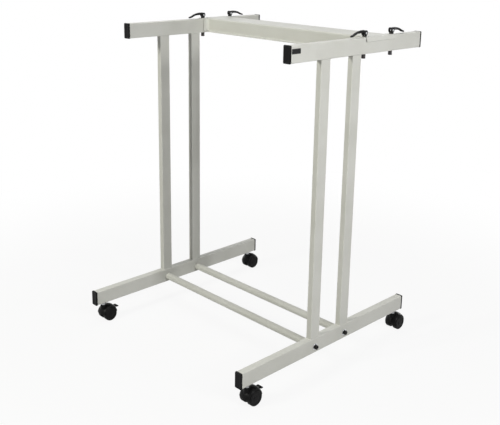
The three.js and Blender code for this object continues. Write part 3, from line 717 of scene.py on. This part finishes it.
# Arm: rounded loops square to the swept middle line. Widths and thicknesses are read off their two
# curves, and each width is the mean of five neighbours.
def leverArm():
    length = lever["length"]
    middle = smoothLine([(share * length, height) for share, height in lever["sweep"]], lever["loops"])
    high = np.interp(np.linspace(0, 1, lever["loops"]), *zip(*lever["swell"]))
    wide = np.interp(middle[:, 0] / length, *zip(*lever["spread"]))
    wide = np.convolve(np.pad(wide, 2, mode="edge"), np.ones(5) / 5, mode="valid")
    wide[-1] *= lever["endShare"]
    way = np.gradient(middle, axis=0)
    way /= np.linalg.norm(way, axis=1)[:, None]
    loops = []
    for (y, z), (dy, dz), w, h in zip(middle, way, wide, high):
        loop = roundedLoop(w, h, lever["roundShare"] * min(w, h), 5, 0.1)
        loops.append(np.stack([loop[:, 0], y - dz * loop[:, 1], z + dy * loop[:, 1]], -1))
    return loft(loops[1:])


# Cheek of the head: a disc with a rounded outer edge, turned about the barrel's direction
def cheek(radius, rise):
    slot, outer = bolt["shank"] / 2 + lever["slotFit"], lever["headWidth"] / 2
    bend, edge = lever["cheekRound"], lever["slotEdge"]
    profile = [(0, slot), (radius - edge, slot), (radius, slot + edge), (radius, outer - bend)]
    profile += fillet(radius - bend, outer - bend, bend, 0, 90)
    profile += [(radius - bend - lever["cheekHold"], outer), (0, outer)]
    return moved(axisX(turned(profile)), 0, 0, rise)


# Head: a cam disc below the pivot and a brow disc above it on each side of the bolt
def leverShells():
    discs = [cheek(clamp["camRadius"], -clamp["camOffset"]), cheek(lever["brow"], lever["browRise"])]
    return [leverArm()] + [sided(disc, sx) for sx in (1.0, -1.0) for disc in discs]


for name, node, sx, ey in corners:
    x, y = sx * railX, clamp["rearY"] if ey > 0 else clamp["frontY"]
    makePiece(f"{name}ClampBolt", [moved(boltShell(), x, y, topBottom)], "bolt", "frame",
              [f"{node}_clamp_bolt"])
    makePiece(f"{name}ClampCradle", [moved(cradleShell(), x, y, plateTop)], "lever", "frame",
              [f"{node}_clamp_cradle"])
    makePiece(f"{name}ClampBarrel", [moved(barrelShell(), x, y, pivotHeight)], "barrel", "frame",
              [f"{node}_clamp_barrel"])
    arm = [moved(halfTurn(shell, ey), x, y, pivotHeight) for shell in leverShells()]
    makePiece(f"{name}ClampLever", arm, "lever", f"{node}_lever", [f"{node}_clamp_lever"])
print("cam clamps done")


# Castors: stem, hooded body and wheels, about the stem's axis at floor level
castor = {"inset": 31.0, "trail": 17.0, "web": 14.0, "webFit": 0.6, "webRise": 0.6, "webHold": 0.4,
          "hoodInner": 26.0, "hoodOuter": 27.8, "crown": 5.0, "hoodWidth": 43.0, "hoodEdge": 3.0,
          "hoodStep": 1.4, "hoodRound": 0.9, "hoodRoundWidth": 1.2, "slotHalf": 4.6, "hub": 34.0,
          "axle": 8.0, "axleEnd": 2.8, "turnFit": 0.3}
boss = {"diameter": 20.0, "top": 60.6, "foot": 30.0, "footSpread": 0.6, "waist": 46.0, "waistSpread": 0.5,
        "round": 1.2, "roundHold": 0.2, "boreEdge": 0.3, "boreDepth": 2.0}
stem = {"pin": 8.0, "pinDepth": 22.0, "collar": 15.4, "collarEdge": 0.6, "groove": 0.45, "grooveMouth": 0.7,
        "grooveFloor": 0.3, "thread": 10.0, "threadLength": 16.0, "threadPoint": 1.0}
# Wheels: the groove is insets from the tread and depths below the outer side, the hub radii and depths
wheel = {"diameter": 50.0, "width": 17.0, "blindEnd": 2.5, "boreEdge": 0.3, "innerRound": 1.5,
         "innerHold": 0.7, "outerRound": 3.4, "drop": 0.6, "treadHolds": (2.4, 5.0),
         "shoulderHolds": (1.4, 0.2),
         "groove": [(4.0, 0.65), (4.4, 0.9), (4.6, 1.7), (5.4, 1.7), (5.7, 0.9), (6.2, 0.55), (7.0, 0.6),
                    (11.0, 0.95), (15.0, 1.0)],
         "hub": [(9.4, 0.95), (8.9, 0.2), (8.3, 0.05), (4.0, 0.0), (0.0, 0.0)]}
# Brake tabs: a neck on a cross pin, and a pedal behind the hood
brake = {"pinRadius": 21.0, "pinAngle": 42.0, "pin": 4.0, "pinReach": 6.7, "hub": 9.0, "hubFit": 0.6,
         "hubEdge": 0.4, "neckWidth": 8.0, "neckThickness": 4.6, "pedalGap": 3.4, "pedalWidth": 23.0,
         "pedalLength": 8.0, "pedalThickness": 2.8, "pedalRound": 2.4, "pedalHold": 0.6, "edgeRound": 1.0,
         "flareLead": 2.0, "flareLength": 2.6, "flareHold": 0.2, "endSwing": (0.12, 1.4), "below": 7.5,
         "above": 5.5, "ribInset": 2.6, "ribShares": (0.3, 0.5, 0.7),
         "ribEnd": [(0.0, 0.0), (0.5, 0.1), (0.9, 0.6)]}
axleZ = wheel["diameter"] / 2
wheelInside = castor["web"] / 2 + castor["webFit"]
pinBehind = brake["pinRadius"] * math.cos(math.radians(brake["pinAngle"]))
pinAbove = brake["pinRadius"] * math.sin(math.radians(brake["pinAngle"]))
hoodTop = castor["hoodOuter"] + castor["crown"]
neckLength = math.sqrt(hoodTop ** 2 - pinAbove ** 2) - pinBehind + brake["pedalGap"]


# Pin, grooved collar and threaded end, turned in one
def stemShell():
    pin, collar, thread = stem["pin"] / 2, stem["collar"] / 2, stem["thread"] / 2
    foot, low, high = boss["top"] - stem["pinDepth"], boss["top"] + castor["turnFit"], side["baseBottom"]
    mid, tip = (low + high) / 2, high + stem["threadLength"]
    groove, wide, narrow = collar - stem["groove"], stem["grooveMouth"], stem["grooveFloor"]
    edge, point = stem["collarEdge"], stem["threadPoint"]
    return turned([(0, foot), (pin, foot), (pin, low), (collar - edge, low), (collar, low + edge),
                   (collar, mid - wide), (groove, mid - narrow), (groove, mid + narrow), (collar, mid + wide),
                   (collar, high - edge), (collar - edge, high), (thread, high), (thread, tip - point),
                   (thread - point, tip), (0, tip)])


# Strip of the hood: across X the outer radius is a parabola that is highest in the middle, with its
# edge rounded on a circle, and the inner radius is the wheel well's. Both are carried round the axle
# between two heights above it, over the top to the front or only up to a height at the rear.
def hoodStrip(xFrom, xTo, rearLow, rearHigh=None):
    half = castor["hoodWidth"] / 2
    xs = np.linspace(xFrom, xTo, max(4, int(abs(xTo - xFrom) / castor["hoodStep"]) + 2))
    crown = castor["hoodOuter"] + castor["crown"] * (1 - (xs / half) ** 2)
    edge = np.clip((half - np.abs(xs)) / castor["hoodRoundWidth"], 0, 1)
    outer = crown - castor["hoodRound"] * (1 - np.sqrt(1 - (1 - edge) ** 2))
    radius = np.concatenate([outer, np.full(len(xs), castor["hoodInner"])])
    across = np.concatenate([xs, xs[::-1]])
    start = np.arcsin(rearLow / radius)
    if rearHigh is None:
        stop, rows = math.pi - np.arcsin(castor["hoodEdge"] / radius), 40
    else:
        stop, rows = np.arcsin(np.minimum(rearHigh / radius, 1.0)), 8
    a = start + np.linspace(0, 1, rows)[:, None] * (stop - start)
    y = castor["trail"] + radius * np.cos(a)
    return loft(np.stack([across + 0 * a, y, axleZ + radius * np.sin(a)], -1))


# Web between the wheels: its outline is a wide arc above the hood's edge and the hub's arc below
def webSlab(xFrom, xTo, rearLimit=math.inf):
    wide, hub = castor["hoodInner"] + castor["webRise"], castor["hub"] / 2
    low, hubLow = [math.asin(castor["hoodEdge"] / radius) for radius in (wide, hub)]
    upper = np.linspace(low, math.pi - low, 40)
    lower = np.linspace(math.pi - hubLow, 2 * math.pi + hubLow, 28)
    y = castor["trail"] + np.concatenate([wide * np.cos(upper), hub * np.cos(lower)])
    z = axleZ + np.concatenate([wide * np.sin(upper), hub * np.sin(lower)])
    return straightBar(np.stack([np.minimum(y, rearLimit), z], -1), 0, xFrom, xTo, castor["webHold"])


# Boss: a turned post that narrows slightly upwards, with a rounded top and the pin's bore
def bossShell():
    r, foot, top, bend = boss["diameter"] / 2, boss["foot"], boss["top"], boss["round"]
    bore, deep, edge = stem["pin"] / 2 + castor["turnFit"], top - boss["boreDepth"], boss["boreEdge"]
    profile = [(0, foot), (r + boss["footSpread"], foot), (r + boss["waistSpread"], boss["waist"])]
    profile += [(r, top - bend - boss["roundHold"])] + fillet(r - bend, top - bend, bend, 0, 90)
    return turned(profile + [(bore + edge, top), (bore, top - edge), (bore, deep), (0, deep)])


# Body: hood strips on both sides of the brake's slot and over its middle, web, axle and boss
def castorBodyShells(braked):
    half, slot, edge, web = castor["hoodWidth"] / 2, castor["slotHalf"], castor["hoodEdge"], castor["web"] / 2
    shells = [hoodStrip(-half, -slot, edge), hoodStrip(slot, half, edge)]
    if braked:
        pinY, pinEnd = castor["trail"] + pinBehind, brake["pinReach"]
        shells += [hoodStrip(-slot, slot, edge, pinAbove - brake["below"])]
        shells += [hoodStrip(-slot, slot, pinAbove + brake["above"])]
        shells += [webSlab(-web, -slot), webSlab(slot, web)]
        shells += [webSlab(-slot, slot, pinY - brake["hub"] / 2 - brake["hubFit"])]
        pin = rod([(0, pinEnd), (brake["pin"] / 2, pinEnd)], 24)
        shells += [moved(pin, 0, pinY, axleZ + pinAbove)]
    else:
        shells += [hoodStrip(-slot, slot, edge), webSlab(-web, web)]
    reach = wheelInside + wheel["width"] - castor["axleEnd"]
    axle = rod([(0, reach), (castor["axle"] / 2, reach)], 32)
    return shells + [moved(axle, 0, castor["trail"], axleZ), bossShell()]


# Wheel: a turned disc with a rounded tread shoulder, a ring groove and a shallow dished hub face
def wheelShell():
    r, w, inner, outer = wheel["diameter"] / 2, wheel["width"], wheel["innerRound"], wheel["outerRound"]
    bore, end = castor["axle"] / 2 + castor["turnFit"], w - wheel["blindEnd"]
    shoulder, edge = w - outer - wheel["drop"], wheel["boreEdge"]
    profile = [(0, end), (bore, end), (bore, edge), (bore + edge, 0), (r - inner - wheel["innerHold"], 0)]
    profile += fillet(r - inner, inner, inner, -80, 0) + [(r, place) for place in wheel["treadHolds"]]
    profile += [(r, shoulder - back) for back in wheel["shoulderHolds"]]
    profile += fillet(r - outer, shoulder, outer, 5, 85, 8)
    profile += [(r - inset, w - depth) for inset, depth in wheel["groove"]]
    profile += [(radius, w - depth) for radius, depth in wheel["hub"]]
    return axisX(turned(profile, 72))


# Brake tab: rounded loops along Y, narrow at the neck and flaring smoothly to the pedal, whose end
# corners are drawn in on a circle; ribs are thin rods sunk in its top
def brakeShells():
    neck, thick = brake["neckWidth"], brake["neckThickness"]
    pedal, bend = brake["pedalWidth"], brake["pedalRound"]
    stop = neckLength + brake["pedalLength"]
    flareFrom = neckLength - brake["flareLead"]
    flareTo, hold = flareFrom + brake["flareLength"], brake["flareHold"]
    y = np.concatenate([np.linspace(0, flareFrom - hold, 8), np.linspace(flareFrom + hold, flareTo, 9),
                        np.linspace(flareTo + brake["pedalHold"], stop - bend, 6),
                        stop - bend * np.cos(np.linspace(*brake["endSwing"], 8))])
    flare = np.clip((y - flareFrom) / (flareTo - flareFrom), 0, 1)
    flare = flare * flare * (3 - 2 * flare)
    drawn = np.clip((y - (stop - bend)) / bend, 0, 1)
    wide = neck + (pedal - neck) * flare - 2 * bend * (1 - np.sqrt(1 - drawn ** 2))
    high = thick + (brake["pedalThickness"] - thick) * flare
    loops = []
    for at, w, h in zip(y, wide, high):
        loop = roundedLoop(w, h, brake["edgeRound"], 4, 0.15) + [0, (thick - h) / 2]
        loops.append(placed(loop, 1, at))
    hub, end, edge = brake["hub"] / 2, neck / 2, brake["hubEdge"]
    shells = [loft(loops), rod([(0, end), (hub - edge, end), (hub, end - edge)], 32)]
    reach = pedal / 2 - brake["ribInset"]
    rib = rod([(radius, reach - inset) for radius, inset in brake["ribEnd"]], 16)
    ribPlaces = [neckLength + share * brake["pedalLength"] for share in brake["ribShares"]]
    return shells + [moved(rib, 0, place, thick / 2) for place in ribPlaces]


for name, node, sx, ey in corners:
    x, y = sx * railX, ey * (railRear - castor["inset"])
    axleY = y + castor["trail"]
    braked = ey < 0
    makePiece(f"{name}CastorStem", [moved(stemShell(), x, y)], "collar", "frame", [f"{node}_castor_stem"])
    body = [moved(shell, x, y) for shell in castorBodyShells(braked)]
    makePiece(f"{name}CastorBody", body, "castor", f"{node}_castor", [f"{node}_castor_body"])
    for wheelName, wx in sideSigns.items():
        disc = moved(halfTurn(wheelShell(), wx), x + wx * wheelInside, axleY, axleZ)
        makePiece(f"{name}{wheelName.title()}Wheel", [disc], "wheel", f"{node}_{wheelName}_wheel",
                  [f"{node}_castor_{wheelName}_wheel"])
    if braked:
        tab = [moved(shell, x, axleY + pinBehind, axleZ + pinAbove) for shell in brakeShells()]
        makePiece(f"{name}BrakeTab", tab, "castor", f"{node}_brake", [f"{node}_brake_tab"])
print("castors done")


# Blank plate on the right top rail: rounded loops drawn in over a small rim
plate = {"front": -220.0, "rear": -184.0, "low": 1029.0, "high": 1044.0, "radius": 1.6, "leastRadius": 0.5,
         "steps": [(0, 0.02), (0, 0.35), (0.15, 0.6), (0.4, 0.7), (1.0, 0.7), (1.2, 0.55), (2.0, 0.55)]}


def plateShell():
    loops = []
    for inset, depth in plate["steps"]:
        radius = max(plate["radius"] - inset / 2, plate["leastRadius"])
        loop = roundedLoop(plate["rear"] - plate["front"] - 2 * inset,
                           plate["high"] - plate["low"] - 2 * inset, radius, 5, 0.2)
        loops.append(placed(loop, 0, depth))
    return moved(loft(loops), 0, (plate["front"] + plate["rear"]) / 2, (plate["low"] + plate["high"]) / 2)


makePiece("railPlate", [moved(plateShell(), railOuter)], "plate", "frame")
print("plate done")


# Studio: a pale floor that shows the shadow faintly, white all round, soft lamps and the camera. A
# lamp is its place, what it points at, its size, its power and its colour where that isn't white. The
# view's focal length, size and axis are in pixels.
studio = {"white": (1.0, 1.0, 1.0, 1.0), "floorReach": 12.0, "floorColour": (0.6, 0.6, 0.595, 1.0),
          "floorGlow": 0.9, "fade": (0.7, 2.0), "worldLight": 0.03}
lamps = {
    "keyLamp": ((1.5, -0.4, 1.5), (0.35, -0.15, 0.8), (0.7, 0.7), 4.8),
    "highLamp": ((2.6, -0.3, 2.06), (0.2, 0.0, 0.6), (0.7, 0.7), 16.0),
    "sideLamp": ((3.2, -0.03, 1.6), (0.0, 0.0, 0.6), (0.35, 0.35), 31.5),
    "frontLamp": ((-0.5, -2.6, 1.9), (-0.1, 0.1, 0.6), (0.3, 0.55), 48.0, (1.0, 1.0, 0.915)),
    "topLamp": ((-0.3, 0.3, 3.2), (0.0, 0.1, 0.0), (2.0, 2.0), 30.0),
    "leftLamp": ((-3.2, 0.3, 0.7), (0.0, 0.0, 0.6), (1.2, 0.5), 20.0),
    "rearLamp": ((-0.2, 3.2, 0.7), (0.0, 0.0, 0.6), (1.2, 0.5), 20.0),
}
view = {"focal": 787.47, "width": 500, "height": 425, "axis": (250.0, 160.0), "sensor": 36.0,
        "place": (1.84485, -1.79977, 1.31775), "turn": (1.303351, -0.015508, 0.801156)}


def studioObject(name, data):
    made = bpy.data.objects.new(name, data)
    bpy.context.scene.collection.objects.link(made)
    return made


# The world looks white but sheds only a little light
def studioWorld():
    tree = Nodes(bpy.data.worlds.new("studioWorld"))
    shed, seen = [tree.node("ShaderNodeBackground", {}, {"Color": studio["white"], "Strength": strength})
                  for strength in (studio["worldLight"], 1.0)]
    blend = tree.node("ShaderNodeMixShader", {}, {0: tree.seenDirectly(), 1: shed, 2: seen})
    tree.node("ShaderNodeOutputWorld", {}, {"Surface": blend})
    return tree.owner


# The floor is matte, with a white glow for what is seen of it that grows to full away from the middle
def floorLook():
    tree = Nodes(bpy.data.materials.new("studioFloor"))
    matte = tree.node("ShaderNodeBsdfDiffuse", {}, {"Color": studio["floorColour"]})
    glow = tree.node("ShaderNodeEmission", {}, {"Color": studio["white"], "Strength": 1.0})
    away = tree.node("ShaderNodeVectorMath", {"operation": "LENGTH"}, {0: tree.coords()}, "Value")
    share = tree.seenDirectly() * tree.band(away, *studio["fade"], studio["floorGlow"])
    blend = tree.node("ShaderNodeMixShader", {}, {0: share, 1: matte, 2: glow})
    tree.node("ShaderNodeOutputMaterial", {}, {"Surface": blend})
    return tree.owner


# An area lamp shines along its own -Z, so it is tilted from the vertical and then turned about it
def softLamp(name, place, target, size, power, colour=(1.0, 1.0, 1.0)):
    data = bpy.data.lights.new(name, "AREA")
    data.shape = "RECTANGLE"
    data.size, data.size_y = size
    data.energy = power
    data.color = colour
    lamp = studioObject(name, data)
    x, y, z = np.array(place) - np.array(target)
    lamp.location = place
    lamp.visible_camera = False
    lamp.rotation_mode = "XYZ"
    lamp.rotation_euler = (math.atan2(math.hypot(x, y), z), 0.0, math.atan2(y, x) + math.pi / 2)


bpy.context.scene.world = studioWorld()
far = studio["floorReach"]
floorMesh = bpy.data.meshes.new("studioFloor")
floorMesh.from_pydata([(-far, -far, 0), (far, -far, 0), (far, far, 0), (-far, far, 0)], [], [(0, 1, 2, 3)])
floorMesh.materials.append(floorLook())
floor = studioObject("studioFloor", floorMesh)
for name, settings in lamps.items():
    softLamp(name, *settings)

cameraData = bpy.data.cameras.new("photoCamera")
cameraData.sensor_fit = "HORIZONTAL"
cameraData.sensor_width = view["sensor"]
cameraData.lens = view["focal"] / view["width"] * view["sensor"]
cameraData.shift_x = (view["width"] / 2 - view["axis"][0]) / view["width"]
cameraData.shift_y = (view["axis"][1] - view["height"] / 2) / view["width"]
camera = studioObject("photoCamera", cameraData)
camera.location = view["place"]
camera.rotation_mode = "XYZ"
camera.rotation_euler = view["turn"]
bpy.context.scene.camera = camera
bpy.context.scene.view_settings.view_transform = "Standard"
print("studio done")
